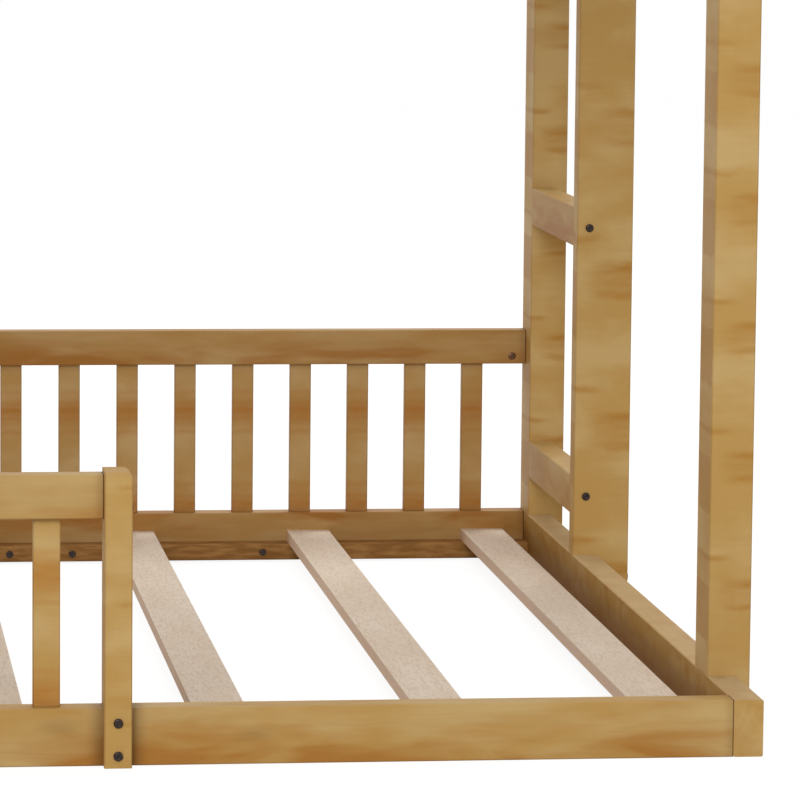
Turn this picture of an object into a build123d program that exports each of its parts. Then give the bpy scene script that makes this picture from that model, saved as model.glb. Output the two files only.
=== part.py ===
from build123d import *

import math
import os
from typing import NamedTuple, Optional

# Bunk bed with a slide: two slatted decks between notched posts, a ladder in the right end,
# balustered guards, and a slide bolted to the front of the upper deck.
# Millimetres. +X is the head-to-foot length, +Y runs from the front to the back, +Z is up.

# Sleeping decks
inner_length = 1930.0
inner_width = 1373.5
rail_thickness = 30.5
rail_height = 58.2
lower_base = 0.0
upper_base = 1085.0
edge_chamfer = 1.2

# Slats and the ledgers that carry them
slat_width = 54.5
slat_thickness = 13.7
slat_pitch = 227.2
ledger_width = 35.0
ledger_height = 20.0
ledger_lift = 1.7
beam_width = 45.0
beam_height = 68.0

# Corner posts
post_width = 45.0
post_depth = 68.0
post_rise = 55.0
post_top_chamfer = 2.5
front_post_setback = 144.0

# Ladder between its stile and the back post of the right end
stile_width = 68.3
stile_thickness = 30.5
stile_rise = 55.0
ladder_clear_width = 327.0
rung_height = 48.0
rung_thickness = 30.0
rung_pitch = 328.0
first_rung_centre = 130.0
rung_count = 3

# Guards
guard_rail_thickness = 27.0
guard_rail_height = 44.0
lower_back_guard_top = 295.0
lower_front_guard_top = 291.5
upper_guard_rise = 360.0
guard_post_width = 27.5
guard_post_depth = 45.0
guard_post_rise = 4.5
guard_post_corner = 7.0
baluster_width = 27.0
baluster_thickness = 12.0
baluster_pitch = 74.7
back_end_gap = 55.5
front_end_gap = 42.6
side_end_gap = 45.0
lower_entry_width = 609.5

# Slide
slide_gap = 2.0
slide_inner_width = 480.0
slide_side_thickness = 20.0
slide_side_above = 110.0
slide_side_below = 40.0
slide_bed_thickness = 8.0
slide_groove_depth = 6.0
slide_groove_clearance = 0.3
slide_angle = 42.0
slide_entry = 40.0
slide_entry_radius = 180.0
slide_exit_radius = 420.0
slide_exit_length = 220.0
slide_exit_height = 180.0
slide_corner_radius = 35.0
batten_width = 45.0
batten_thickness = 27.0
batten_count = 4
header_thickness = 27.0
slide_leg_width = 45.0
slide_leg_thickness = 27.0
slide_leg_inset = 90.0
stretcher_height = 45.0
stretcher_lift = 60.0

# Fasteners. There are many, so each is drawn with flat sides: a few on shanks, more on heads.
shank_sides = 6
head_sides = 8
bolt_radius = 3.0
bolt_head_radius = 4.9
bolt_head_height = 2.5
bore_clearance = 0.3
bore_end_clearance = 2.0
nut_radius = 5.0
nut_length = 20.0
nut_inset = 18.0
corner_bolt_height = 15.0
back_post_bolt_inset = 18.0
guard_bolt_drop = 34.0
side_guard_bolt_drop = 12.0
guard_post_bolt_heights = (12.3, 45.4)
screw_radius = 2.0
screw_head_radius = 4.6
screw_head_height = 2.0
screw_length = 50.0
slide_screw_length = 40.0
ledger_screw_stations = (295.0, 375.0, 620.0)
ledger_screw_end = 40.0

# Slide line, from the flat entry over the slope to the flat run-out
slope = math.radians(slide_angle)
slide_top = upper_base + rail_height
slide_fall = slide_top - slide_exit_height
slide_arc_fall = (slide_entry_radius + slide_exit_radius) * (1 - math.cos(slope))
slide_slope_length = (slide_fall - slide_arc_fall) / math.sin(slope)
slide_arc_reach = (slide_entry_radius + slide_exit_radius) * math.sin(slope)
slide_slope_reach = slide_slope_length * math.cos(slope)
slide_reach = slide_entry + slide_arc_reach + slide_slope_reach + slide_exit_length

# The origin is on the floor, in the middle of the ground that bed and slide cover
deck_depth = inner_width + 2 * rail_thickness
left_reach = inner_length / 2 + post_width + bolt_head_height
right_reach = inner_length / 2 + stile_width
middle_x = (left_reach - right_reach) / 2
front = (slide_reach - deck_depth - bolt_head_height) / 2
back = front + deck_depth
left = middle_x - inner_length / 2
right = middle_x + inner_length / 2

# Spans shared by neighbouring pieces
front_rail_y = (front, front + rail_thickness)
back_rail_y = (back - rail_thickness, back)
bed_x = (left, right)
inside_y = (front_rail_y[1], back_rail_y[0])
front_post_y = (front + front_post_setback, front + front_post_setback + post_depth)
back_post_y = (back - post_depth, back)
stile_y_back = back_post_y[0] - ladder_clear_width
stile_y = (stile_y_back - stile_thickness, stile_y_back)
front_guard_y = (front_rail_y[1] - guard_rail_thickness, front_rail_y[1])
back_guard_y = (back_rail_y[0], back_rail_y[0] + guard_rail_thickness)
guard_post_y = (front_rail_y[1] - guard_post_depth, front_rail_y[1])
upper_guard_top = upper_base + upper_guard_rise
post_height = upper_guard_top + post_rise
stile_height = upper_guard_top + stile_rise
slide_outer_x = (
    left + guard_post_width + slide_gap,
    left + guard_post_width + slide_gap + slide_inner_width + 2 * slide_side_thickness,
)
lower_guard_end = right - lower_entry_width
decks = {"lower": lower_base, "upper": upper_base}


class Bolt(NamedTuple):
    """A bolt's head seat, the way it points, its shank, and the nut's station, axis and face distance."""

    seat: tuple
    direction: tuple
    shank: float
    nut_station: float = 0.0
    nut_axis: Optional[tuple] = None
    nut_face: float = 0.0


def middle(span):
    """The value halfway between the two ends of a span."""
    return (span[0] + span[1]) / 2


def extent(span):
    """The length of a span."""
    return span[1] - span[0]


def outward(inner, side, width):
    """The ordered span that starts at an inner face and grows to one side."""
    return tuple(sorted((inner, inner + side * width)))


def through_bolt(seat, direction, boards, into):
    """A bolt through some thickness of boards that bites into the next one."""
    return Bolt(seat, direction, boards + into)


def nut_bolt(seat, direction, boards, nut_axis, face):
    """A bolt through boards into the end grain of another, ending in a barrel nut across it."""
    station = boards + nut_inset
    return Bolt(seat, direction, station - nut_radius, station, nut_axis, face)


def save(piece, label):
    """Name the finished piece and write it out."""
    piece.part.label = label
    export_step(piece.part, f"parts/{label}.step")


def rod(plane, radius, length, sides, mode=Mode.ADD):
    """A many-sided rod that stands on a plane, added to the open piece or cut from it."""
    with BuildSketch(plane) as section:
        RegularPolygon(radius, sides)
    extrude(section.sketch, amount=length, mode=mode)


def shank_plane(bolt):
    """The plane on which a bolt's head seats, facing along its shank."""
    return Plane(origin=bolt.seat, z_dir=bolt.direction)


def bore(bolts):
    """Bore the open board for the shanks and nuts of these bolts."""
    for bolt in bolts:
        depth = bolt.shank + bore_end_clearance
        rod(shank_plane(bolt), bolt_radius + bore_clearance, depth, shank_sides, Mode.SUBTRACT)
        if bolt.nut_axis:
            nut_bore = nut_length + bore_clearance
            rod(nut_plane(bolt), nut_radius + bore_clearance, nut_bore, head_sides, Mode.SUBTRACT)


def nut_plane(bolt):
    """The plane of the board face on which a bolt's nut opens, facing into the board."""
    centre = Vector(*bolt.seat) + Vector(*bolt.direction) * bolt.nut_station
    axis = Vector(*bolt.nut_axis)
    return Plane(origin=centre + axis * bolt.nut_face, z_dir=axis * -1)


def pilot(seats, direction, depth):
    """Bore the open board for the screws whose heads seat at these points."""
    for seat in seats:
        seat_plane = Plane(origin=seat, z_dir=direction)
        rod(seat_plane, screw_radius + bore_clearance, depth, shank_sides, Mode.SUBTRACT)


def make_board(label, x, y, z, grain, bolts=(), screws=(), screw_direction=(0, 1, 0)):
    """A straight board between three pairs of faces, its long edges eased and its holes bored."""
    with BuildPart() as board:
        with BuildSketch(Plane.XY.offset(z[0])):
            with Locations((middle(x), middle(y))):
                Rectangle(extent(x), extent(y))
        extrude(amount=extent(z))
        chamfer(board.edges().filter_by(grain), edge_chamfer)
        bore(bolts)
        pilot(screws, screw_direction, screw_length + bore_end_clearance)
    save(board, label)


def make_upright(label, inner, side, width, y, height, notches, bolts):
    """A post or stile notched on its inner side over the rails that it carries."""
    x = outward(inner, side, width)
    with BuildPart() as upright:
        with BuildSketch(Plane.XY):
            with Locations((middle(x), middle(y))):
                Rectangle(extent(x), extent(y))
        extrude(amount=height)
        chamfer(upright.faces().sort_by(Axis.Z)[-1].edges(), post_top_chamfer)
        chamfer(upright.edges().filter_by(Axis.Z), edge_chamfer)
        for depth, z in notches:
            notch_x = outward(inner, side, depth)
            with BuildSketch(Plane.XZ.offset(-y[1])):
                with Locations((middle(notch_x), middle(z))):
                    Rectangle(extent(notch_x), extent(z))
            extrude(amount=extent(y), mode=Mode.SUBTRACT)
        bore(bolts)
    save(upright, label)


def make_guard_post(label, x, base, top, rounded_side, bolts):
    """A short post notched over the front rail, with one top corner rounded."""
    with BuildPart() as post:
        with BuildSketch(Plane.YZ.offset(x[0])):
            with BuildLine():
                Polyline(
                    (guard_post_y[0], base),
                    (guard_post_y[0], top),
                    (guard_post_y[1], top),
                    (guard_post_y[1], base + rail_height),
                    (front, base + rail_height),
                    (front, base),
                    close=True,
                )
            make_face()
        extrude(amount=extent(x))
        top_edges = post.edges().filter_by(Axis.Y).group_by(Axis.Z)[-1].sort_by(Axis.X)
        fillet(top_edges[-1 if rounded_side > 0 else 0], guard_post_corner)
        front_edges = post.faces().sort_by(Axis.Y)[0].edges().filter_by(Axis.Z)
        chamfer(front_edges, edge_chamfer)
        bore(bolts)
    save(post, label)


def baluster_stations(low, high, end_gap):
    """Evenly pitched baluster stations between two faces, with a set gap at both ends."""
    run = high - low - 2 * end_gap - baluster_width
    steps = max(1, round(run / baluster_pitch))
    first = low + end_gap + baluster_width / 2
    return [first + run * step / steps for step in range(steps + 1)]


def make_balusters(label, centres, plan, z):
    """A row of thin upright slats between a deck rail and its guard rail."""
    with BuildPart() as row:
        with BuildSketch(Plane.XY.offset(z[0])):
            with Locations(*centres):
                Rectangle(*plan)
        extrude(amount=extent(z))
    save(row, label)


def slide_line(rise):
    """The slide's line seen from the side, raised square to itself by a small distance."""
    start = Line((front + rail_thickness, slide_top + rise), (front - slide_entry, slide_top + rise))
    bend = JernArc(start @ 1, start % 1, slide_entry_radius + rise, slide_angle)
    run = PolarLine(bend @ 1, slide_slope_length, direction=bend % 1)
    level = JernArc(run @ 1, run % 1, slide_exit_radius - rise, -slide_angle)
    Line(level @ 1, level @ 1 - Vector(slide_exit_length, 0))


def slope_plane(distance):
    """The plane under the slide bed at a distance down the straight slope, its Y axis up the slope."""
    top_y = front - slide_entry - slide_entry_radius * math.sin(slope)
    top_z = slide_top - slide_entry_radius * (1 - math.cos(slope))
    point = (0, top_y - distance * math.cos(slope), top_z - distance * math.sin(slope))
    normal = (0, -math.sin(slope), math.cos(slope))
    return Plane(origin=point, x_dir=(1, 0, 0), z_dir=normal)


# Bolts of the corner joints: each goes through the end rail into the end of a long rail
def corner_bolt(base, side, long_rail_y, post_tongue, nut_axis):
    """The bolt at one corner of a deck, with the thickness of any post outside the end rail."""
    inner = right if side > 0 else left
    boards = rail_thickness + post_tongue
    seat = (inner + side * boards, middle(long_rail_y), base + corner_bolt_height)
    return nut_bolt(seat, (-side, 0, 0), boards, nut_axis, rail_thickness / 2)


post_tongue = post_width - rail_thickness
front_corner_bolts = {
    (deck, side): corner_bolt(base, side, front_rail_y, 0.0, (0, 1, 0))
    for deck, base in decks.items()
    for side in (-1, 1)
}
back_corner_bolts = {
    (deck, side): corner_bolt(base, side, back_rail_y, post_tongue, (0, -1, 0))
    for deck, base in decks.items()
    for side in (-1, 1)
}


# Bolts that hold the posts and the ladder stile to the end rails
def upright_bolt(base, side, width, y):
    """The bolt through an upright's outer tongue into the end rail."""
    inner = right if side > 0 else left
    seat = (inner + side * width, y, base + rail_height / 2)
    return through_bolt(seat, (-side, 0, 0), width - rail_thickness, 0.8 * rail_thickness)


front_post_bolts = {
    (deck, side): upright_bolt(base, side, post_width, middle(front_post_y))
    for deck, base in decks.items()
    for side in (-1, 1)
}
back_post_bolts = {
    (deck, side): upright_bolt(base, side, post_width, back_post_y[0] + back_post_bolt_inset)
    for deck, base in decks.items()
    for side in (-1, 1)
}
stile_bolts = {
    deck: upright_bolt(base, 1, stile_width, middle(stile_y)) for deck, base in decks.items()
}

# Bolts in both ends of each rung
rung_x = (right, right + rung_thickness)
rung_centres = [first_rung_centre + rung_pitch * step for step in range(rung_count)]
rung_stile_bolts = [
    nut_bolt((middle(rung_x), stile_y[0], z), (0, 1, 0), stile_thickness, (1, 0, 0), rung_thickness / 2)
    for z in rung_centres
]
rung_post_bolts = [
    nut_bolt((middle(rung_x), back, z), (0, -1, 0), post_depth, (1, 0, 0), rung_thickness / 2)
    for z in rung_centres
]

# Bolts in the ends of the back guard rails
back_guard_tops = {"lower": lower_back_guard_top, "upper": upper_guard_top}
back_guard_bolts = {
    (deck, side): nut_bolt(
        ((right if side > 0 else left) + side * post_width, middle(back_guard_y), top - guard_bolt_drop),
        (-side, 0, 0),
        post_width,
        (0, -1, 0),
        guard_rail_thickness / 2,
    )
    for deck, top in back_guard_tops.items()
    for side in (-1, 1)
}

# Guard posts on the front rails, and the bolts that hold them: in a corner of the deck the lower
# bolt of the pair gives way to the corner bolt
guard_posts = {
    "lower_front_guard_post_left": (lower_base, outward(left, 1, guard_post_width), -1),
    "lower_front_guard_post_right": (lower_base, outward(lower_guard_end, -1, guard_post_width), 1),
    "upper_front_guard_post_left": (upper_base, outward(left, 1, guard_post_width), -1),
    "upper_front_guard_post_middle": (
        upper_base,
        outward(slide_outer_x[1] + slide_gap, 1, guard_post_width),
        -1,
    ),
    "upper_front_guard_post_right": (upper_base, outward(right, -1, guard_post_width), 1),
}
guard_tops = {lower_base: lower_front_guard_top, upper_base: upper_guard_top}
guard_post_bolts = {
    label: [
        through_bolt(
            (middle(x), guard_post_y[0], base + height),
            (0, 1, 0),
            guard_post_depth - rail_thickness,
            0.8 * rail_thickness,
        )
        for height in guard_post_bolt_heights
        if not (x[0] == left or x[1] == right) or height > rail_height / 2
    ]
    for label, (base, x, _) in guard_posts.items()
}


# Bolts from the guard posts into the ends of the front guard rails
def front_guard_bolt(seat_x, side, top, boards):
    """The bolt into one end of a front guard rail, through all that stands outside that end."""
    seat = (seat_x, middle(front_guard_y), top - guard_bolt_drop)
    return nut_bolt(seat, (-side, 0, 0), boards, (0, 1, 0), guard_rail_thickness / 2)


lower_guard_bolts = {
    -1: front_guard_bolt(left, -1, lower_front_guard_top, guard_post_width),
    1: front_guard_bolt(lower_guard_end, 1, lower_front_guard_top, guard_post_width),
}
upper_middle_x = guard_posts["upper_front_guard_post_middle"][1]
upper_guard_bolts = {
    -1: front_guard_bolt(upper_middle_x[0], -1, upper_guard_top, guard_post_width),
    1: front_guard_bolt(
        right + guard_rail_thickness, 1, upper_guard_top, guard_post_width + guard_rail_thickness
    ),
}
left_return_bolt = through_bolt(
    (left - guard_rail_thickness, middle(front_guard_y), upper_guard_top - guard_bolt_drop),
    (1, 0, 0),
    guard_rail_thickness,
    0.7 * guard_post_width,
)

# Bolts of the end guard rails: one through each front post, one into the far end
side_guard_z = (upper_guard_top - guard_rail_height, upper_guard_top)
side_post_bolts = {
    side: through_bolt(
        ((right if side > 0 else left) + side * post_width, middle(front_post_y), middle(side_guard_z)),
        (-side, 0, 0),
        post_width - guard_rail_thickness,
        0.8 * guard_rail_thickness,
    )
    for side in (-1, 1)
}
left_side_x = outward(left, -1, guard_rail_thickness)
right_side_x = outward(right, 1, guard_rail_thickness)
side_bolt_z = upper_guard_top - side_guard_bolt_drop
left_end_bolt = nut_bolt(
    (middle(left_side_x), back, side_bolt_z), (0, -1, 0), post_depth, (1, 0, 0), guard_rail_thickness / 2
)
right_end_bolt = nut_bolt(
    (middle(right_side_x), stile_y[1], side_bolt_z),
    (0, -1, 0),
    stile_thickness,
    (-1, 0, 0),
    guard_rail_thickness / 2,
)

# Bolts through the end rails into the centre beam of the upper deck
beam_y = outward(middle(inside_y) - beam_width / 2, 1, beam_width)
beam_bolts = [
    nut_bolt(
        (
            (right if side > 0 else left) + side * rail_thickness,
            middle(beam_y),
            upper_base + ledger_lift + ledger_height / 2,
        ),
        (-side, 0, 0),
        rail_thickness,
        (0, 1, 0),
        beam_width / 2,
    )
    for side in (-1, 1)
]

# Bolts of the slide header
slide_inner_x = (slide_outer_x[0] + slide_side_thickness, slide_outer_x[1] - slide_side_thickness)
header_bolts = [
    through_bolt(
        (slide_inner_x[0] + extent(slide_inner_x) * share, front - header_thickness, upper_base + rail_height / 2),
        (0, 1, 0),
        header_thickness,
        0.8 * rail_thickness,
    )
    for share in (0.2, 0.8)
]

# Screws that hold the ledgers to the long rails
ledger_half = inner_length / 2 - ledger_screw_end
ledger_stations = [
    middle_x + side * station for station in (*ledger_screw_stations, ledger_half) for side in (-1, 1)
]


def ledger_seats(face_y, base):
    """Where the screw heads seat on the inner face of one ledger."""
    return [(x, face_y, base + ledger_lift + ledger_height / 2) for x in ledger_stations]


ledger_faces = {"front": front_rail_y[1] + ledger_width, "back": back_rail_y[0] - ledger_width}
ledger_ways = {"front": (0, -1, 0), "back": (0, 1, 0)}


# Decks: long rails, end rails, ledgers and slats
def make_deck(deck, base):
    """The rails, ledgers and slats of one deck."""
    rail_z = (base, base + rail_height)
    front_posts = [label for label, (height, _, _) in guard_posts.items() if height == base]
    front_bolts = [bolt for label in front_posts for bolt in guard_post_bolts[label]]
    front_bolts += [front_corner_bolts[deck, side] for side in (-1, 1)]
    if deck == "upper":
        front_bolts += header_bolts
    make_board(
        f"{deck}_front_rail",
        bed_x,
        front_rail_y,
        rail_z,
        Axis.X,
        front_bolts,
        ledger_seats(ledger_faces["front"], base),
        ledger_ways["front"],
    )
    make_board(
        f"{deck}_back_rail",
        bed_x,
        back_rail_y,
        rail_z,
        Axis.X,
        [back_corner_bolts[deck, side] for side in (-1, 1)],
        ledger_seats(ledger_faces["back"], base),
        ledger_ways["back"],
    )
    for name, inner, side in (("left", left, -1), ("right", right, 1)):
        bolts = [table[deck, side] for table in (front_corner_bolts, back_corner_bolts)]
        bolts += [table[deck, side] for table in (front_post_bolts, back_post_bolts)]
        if side > 0:
            bolts.append(stile_bolts[deck])
        if deck == "upper":
            bolts.append(beam_bolts[0 if side < 0 else 1])
        make_board(
            f"{deck}_{name}_rail",
            outward(inner, side, rail_thickness),
            (front, back),
            rail_z,
            Axis.Y,
            bolts,
        )
    ledger_z = (base + ledger_lift, base + ledger_lift + ledger_height)
    for name, wall_y, way in (("front", front_rail_y[1], 1), ("back", back_rail_y[0], -1)):
        make_board(
            f"{deck}_{name}_ledger",
            bed_x,
            outward(wall_y, way, ledger_width),
            ledger_z,
            Axis.X,
            (),
            ledger_seats(ledger_faces[name], base),
            ledger_ways[name],
        )
    slat_count = int((inner_length - slat_width) // slat_pitch) + 1
    with BuildPart() as slats:
        with BuildSketch(Plane.XY.offset(ledger_z[1])):
            with Locations((middle_x, middle(inside_y))):
                with GridLocations(slat_pitch, extent(inside_y), slat_count, 1):
                    Rectangle(slat_width, extent(inside_y))
        extrude(amount=slat_thickness)
    save(slats, f"{deck}_slats")


# Ladder: stile and rungs
def make_ladder():
    """The stile and the rungs between it and the back post of the right end."""
    notches = [(rail_thickness, (base, base + rail_height)) for base in decks.values()]
    bolts = [*stile_bolts.values(), *rung_stile_bolts, right_end_bolt]
    make_upright("ladder_stile", right, 1, stile_width, stile_y, stile_height, notches, bolts)
    for number, z in enumerate(rung_centres, start=1):
        make_board(
            f"ladder_rung_{number}",
            rung_x,
            (stile_y[1], back_post_y[0]),
            (z - rung_height / 2, z + rung_height / 2),
            Axis.Y,
            [rung_stile_bolts[number - 1], rung_post_bolts[number - 1]],
        )


# Corner posts
def make_posts():
    """The four corner posts, each notched over both decks and the front ones over the end guards."""
    rail_notches = [(rail_thickness, (base, base + rail_height)) for base in decks.values()]
    for name, inner, side in (("left", left, -1), ("right", right, 1)):
        front_bolts = [front_post_bolts[deck, side] for deck in decks] + [side_post_bolts[side]]
        make_upright(
            f"front_post_{name}",
            inner,
            side,
            post_width,
            front_post_y,
            post_height,
            [*rail_notches, (guard_rail_thickness, side_guard_z)],
            front_bolts,
        )
        tables = (back_corner_bolts, back_post_bolts, back_guard_bolts)
        back_bolts = [table[deck, side] for table in tables for deck in decks]
        back_bolts += rung_post_bolts if side > 0 else [left_end_bolt]
        make_upright(
            f"back_post_{name}",
            inner,
            side,
            post_width,
            back_post_y,
            post_height,
            rail_notches,
            back_bolts,
        )


# Guards
def make_front_guards():
    """The guard posts, rails and balusters along the front of both decks."""
    for label, (base, x, rounded_side) in guard_posts.items():
        bolts = list(guard_post_bolts[label])
        if base == lower_base:
            bolts.append(lower_guard_bolts[rounded_side])
        elif label.endswith("left"):
            bolts.append(left_return_bolt)
        else:
            bolts.append(upper_guard_bolts[rounded_side])
        make_guard_post(label, x, base, guard_tops[base] + guard_post_rise, rounded_side, bolts)
    lower_x = (left + guard_post_width, lower_guard_end - guard_post_width)
    upper_x = (upper_middle_x[1], right - guard_post_width)
    for deck, x, bolts in (("lower", lower_x, lower_guard_bolts), ("upper", upper_x, upper_guard_bolts)):
        base = decks[deck]
        top = guard_tops[base]
        rail_z = (top - guard_rail_height, top)
        make_board(f"{deck}_front_guard_rail", x, front_guard_y, rail_z, Axis.X, bolts.values())
        make_balusters(
            f"{deck}_front_balusters",
            [(x_at, middle(front_guard_y)) for x_at in baluster_stations(*x, front_end_gap)],
            (baluster_width, baluster_thickness),
            (base + rail_height, rail_z[0]),
        )


def make_back_guards():
    """The guard rails and balusters along the back of both decks."""
    for deck, base in decks.items():
        top = back_guard_tops[deck]
        rail_z = (top - guard_rail_height, top)
        bolts = [back_guard_bolts[deck, side] for side in (-1, 1)]
        make_board(f"{deck}_back_guard_rail", bed_x, back_guard_y, rail_z, Axis.X, bolts)
        make_balusters(
            f"{deck}_back_balusters",
            [(x_at, middle(back_guard_y)) for x_at in baluster_stations(*bed_x, back_end_gap)],
            (baluster_width, baluster_thickness),
            (base + rail_height, rail_z[0]),
        )


def make_side_guards():
    """The guards across both ends of the upper deck, whose rails run through the front posts."""
    ends = {
        "left": (left_side_x, back_post_y[0], [side_post_bolts[-1], left_return_bolt, left_end_bolt]),
        "right": (right_side_x, stile_y[0], [side_post_bolts[1], upper_guard_bolts[1], right_end_bolt]),
    }
    for name, (x, far_y, bolts) in ends.items():
        make_board(f"upper_{name}_guard_rail", x, (guard_post_y[0], far_y), side_guard_z, Axis.Y, bolts)
        stations = [middle((guard_post_y[1], front_post_y[0]))]
        stations += baluster_stations(front_post_y[1], far_y, side_end_gap)
        make_balusters(
            f"upper_{name}_balusters",
            [(middle(x), y_at) for y_at in stations],
            (baluster_thickness, baluster_width),
            (upper_base + rail_height, side_guard_z[0]),
        )


# Centre beam under the upper slats, bolted through both end rails
def make_centre_beam():
    """The beam down the middle of the upper deck, under its slats, from end rail to end rail."""
    top = upper_base + ledger_lift + ledger_height
    make_board("upper_centre_beam", bed_x, beam_y, (top - beam_height, top), Axis.X, beam_bolts)


# Slide
def make_slide_side(label, x, groove_x, screws, screw_direction):
    """One curved side of the slide, grooved for the bed and rounded at its foot."""
    with BuildPart() as panel:
        with BuildSketch(Plane.YZ.offset(x[0])) as outline:
            with BuildLine():
                slide_line((slide_side_above - slide_side_below) / 2)
            trace(line_width=slide_side_above + slide_side_below)
            with Locations((front + rail_thickness, slide_top)):
                Rectangle(
                    2 * rail_thickness,
                    4 * slide_side_above,
                    mode=Mode.SUBTRACT,
                )
            fillet(outline.vertices().group_by(Axis.X)[0], slide_corner_radius)
            top_corner = outline.vertices().group_by(Axis.X)[-1].sort_by(Axis.Y)[-1]
            fillet(top_corner, slide_corner_radius)
        extrude(amount=extent(x))
        with BuildSketch(Plane.YZ.offset(groove_x)):
            with BuildLine():
                slide_line(slide_bed_thickness / 2)
            trace(line_width=slide_bed_thickness + 2 * slide_groove_clearance)
        extrude(amount=slide_groove_depth, mode=Mode.SUBTRACT)
        pilot(screws, screw_direction, slide_screw_length + bore_end_clearance)
    save(panel, label)


def batten_planes():
    """The planes under the bed on which the slope battens seat, evenly down the slope."""
    return [slope_plane(slide_slope_length * (step + 0.5) / batten_count) for step in range(batten_count)]


def slide_screw_seats():
    """Where screws cross into the battens, header and legs, measured in Y and Z only."""
    seats = [plane.from_local_coords((0, 0, -batten_thickness / 2)) for plane in batten_planes()]
    points = [(seat.Y, seat.Z) for seat in seats]
    points.append((front - header_thickness / 2, slide_top - slide_side_below / 2))
    points.append((slide_leg_y[0] + slide_leg_width / 2, slide_exit_height - slide_side_below / 2))
    return points


slide_foot = front - slide_reach
slide_leg_y = (slide_foot + slide_leg_inset, slide_foot + slide_leg_inset + slide_leg_width)


def make_slide():
    """The curved bed between its two sides, with battens, header and legs under it."""
    points = slide_screw_seats()
    sides = (
        ("left", (slide_outer_x[0], slide_inner_x[0]), slide_inner_x[0] - slide_groove_depth, 0, 1),
        ("right", (slide_inner_x[1], slide_outer_x[1]), slide_inner_x[1], 1, -1),
    )
    seats = {}
    for name, x, groove_x, outer, way in sides:
        seats[way] = [(x[outer], y, z) for y, z in points]
        make_slide_side(f"slide_side_{name}", x, groove_x, seats[way], (way, 0, 0))

    bed_span = (slide_inner_x[0] - slide_groove_depth, slide_inner_x[1] + slide_groove_depth)
    with BuildPart() as bed:
        with BuildSketch(Plane.YZ.offset(slide_inner_x[0])):
            with BuildLine():
                slide_line(slide_bed_thickness / 2)
            trace(line_width=slide_bed_thickness)
        extrude(amount=extent(slide_inner_x))
        with BuildSketch(Plane.YZ.offset(bed_span[0])):
            with BuildLine():
                slide_line(slide_bed_thickness / 2)
            trace(line_width=slide_bed_thickness)
            with Locations((front + rail_thickness, slide_top)):
                Rectangle(2 * rail_thickness, 4 * slide_side_above, mode=Mode.SUBTRACT)
        extrude(amount=extent(bed_span))
    save(bed, "slide_bed")

    with BuildPart() as battens:
        for plane in batten_planes():
            with BuildSketch(plane):
                with Locations((middle(slide_inner_x), 0)):
                    Rectangle(extent(slide_inner_x), batten_width)
            extrude(amount=-batten_thickness)
        for way in (-1, 1):
            pilot(seats[way], (way, 0, 0), slide_screw_length + bore_end_clearance)
    save(battens, "slide_battens")

    with BuildPart() as header:
        with BuildSketch(Plane.XY.offset(upper_base)):
            with Locations((middle(slide_inner_x), front - header_thickness / 2)):
                Rectangle(extent(slide_inner_x), header_thickness)
        extrude(amount=rail_height)
        bore(header_bolts)
        for way in (-1, 1):
            pilot(seats[way], (way, 0, 0), slide_screw_length + bore_end_clearance)
    save(header, "slide_header")

    for name, inner, way in (("left", slide_inner_x[0], 1), ("right", slide_inner_x[1], -1)):
        leg_x = outward(inner, way, slide_leg_thickness)
        make_board(
            f"slide_leg_{name}",
            leg_x,
            slide_leg_y,
            (0, slide_exit_height),
            Axis.Z,
            (),
            seats[way],
            (way, 0, 0),
        )
    stretcher_x = (slide_inner_x[0] + slide_leg_thickness, slide_inner_x[1] - slide_leg_thickness)
    make_board(
        "slide_stretcher",
        stretcher_x,
        outward(middle(slide_leg_y) - batten_thickness / 2, 1, batten_thickness),
        (stretcher_lift, stretcher_lift + stretcher_height),
        Axis.X,
    )
    return seats


# Fasteners: each kind is one group of separate solids
def make_pin(plane, head_radius, head_height, shank_radius, shank):
    """One bolt or screw: a round head that seats on a plane and a shank into the wood."""
    with BuildPart() as pin:
        rod(plane.offset(-head_height), head_radius, head_height, head_sides)
        rod(plane, shank_radius, shank, shank_sides)
    return pin.part


def make_group(label, pieces):
    """Fasteners of one kind, kept as separate solids of one node."""
    with BuildPart() as group:
        add(pieces)
    save(group, label)


def make_bolts(bolts):
    """Every bolt of the bed and slide."""
    sizes = (bolt_head_radius, bolt_head_height, bolt_radius)
    make_group("connector_bolts", [make_pin(shank_plane(bolt), *sizes, bolt.shank) for bolt in bolts])


def make_nut(bolt):
    """One barrel nut, lying across its bolt with its end flush in the board's face."""
    with BuildPart() as nut:
        rod(nut_plane(bolt), nut_radius, nut_length, head_sides)
    return nut.part


def make_screws(label, seats, length):
    """A group of screws whose heads lie on the board."""
    sizes = (screw_head_radius, screw_head_height, screw_radius, length)
    make_group(label, [make_pin(Plane(origin=seat, z_dir=way), *sizes) for seat, way in seats])


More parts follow.
